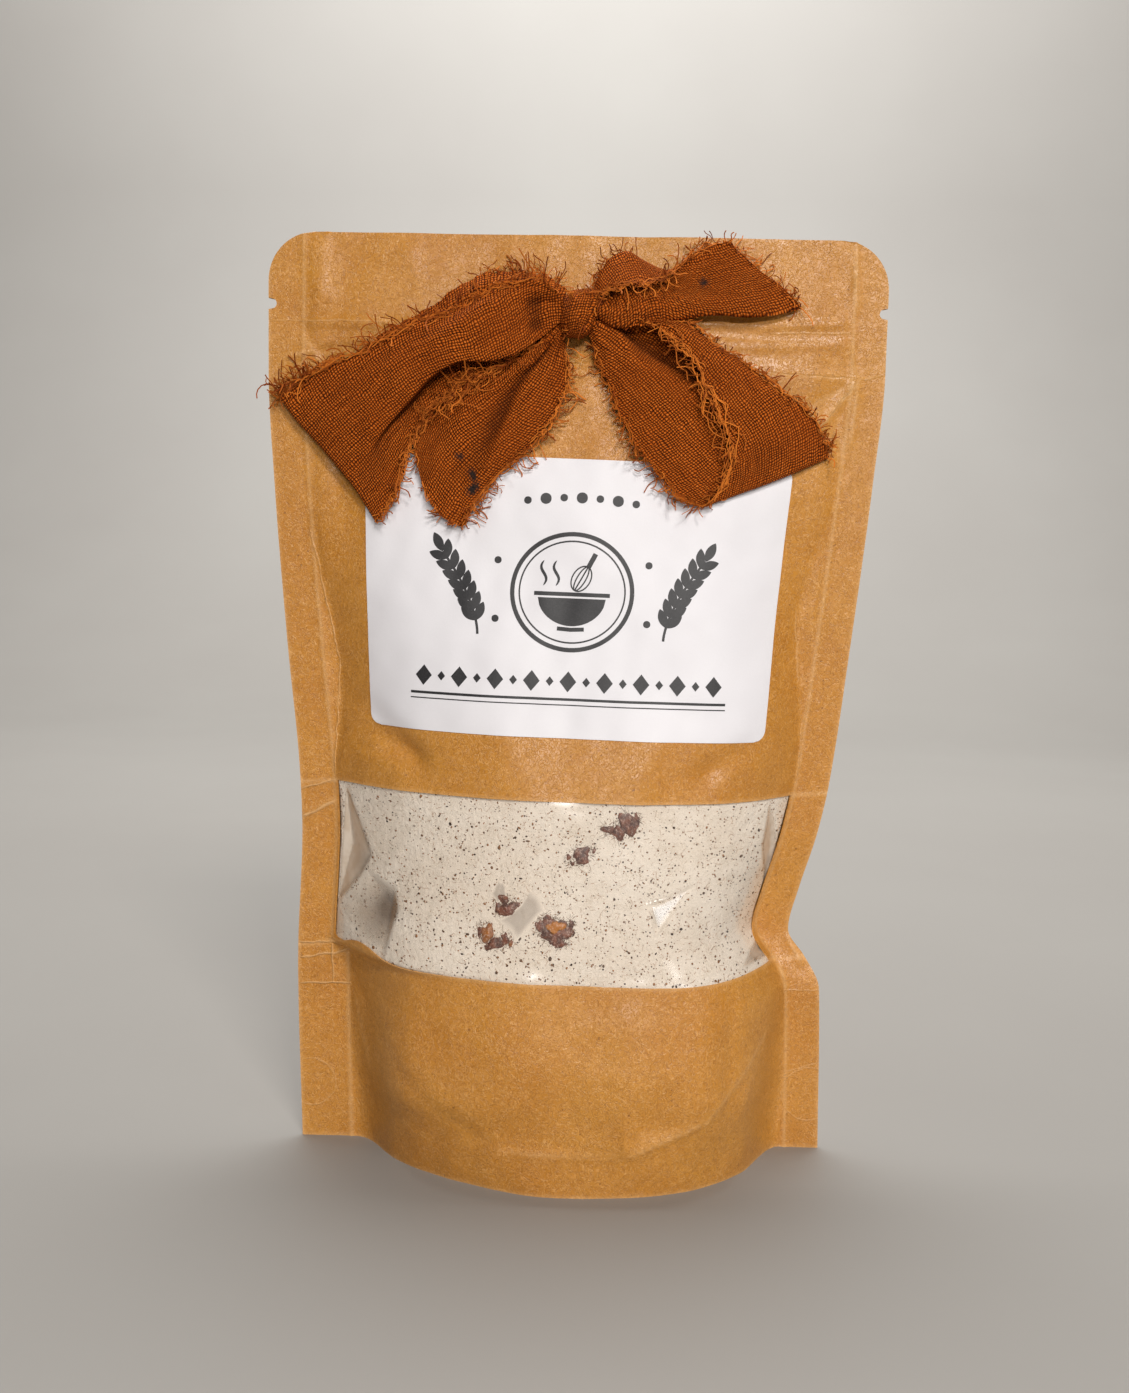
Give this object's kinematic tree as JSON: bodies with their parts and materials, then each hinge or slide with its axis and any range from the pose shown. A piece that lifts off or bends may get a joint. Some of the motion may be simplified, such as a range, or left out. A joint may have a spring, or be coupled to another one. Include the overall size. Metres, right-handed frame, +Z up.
{
  "type": "bag of pancake mix",
  "caption": "Stand-up kraft paper pouch of dry pancake mix, with a clear window band, a plain printed label and a frayed cloth bow glued near its top.",
  "frame": {"origin": "Centre of the bounding box on the surface that the pouch stands on", "axes": "+Z up, the longest way; the front with the window, label and bow faces -Y; +X runs to the right seen from the front; front to back is the shortest way"},
  "size_m": [0.16, 0.0672, 0.24],
  "materials": {
    "kraft_paper": "warm brown kraft paper with fine fibres, satin sheen",
    "clear_film": "clear glossy film, puckered at its ends",
    "dry_mix": "warm off-white flour with small brown specks and a few brown bits",
    "label_paper": "smooth white sticker paper with black print",
    "torn_cloth": "rust brown open-weave cloth, torn and frayed along its edges"
  },
  "bodies": {
    "root": {"pouch": "kraft_paper", "window_film": "clear_film", "pancake_mix": "dry_mix", "label": "label_paper", "bow": "torn_cloth"}
  },
  "joints": []
}
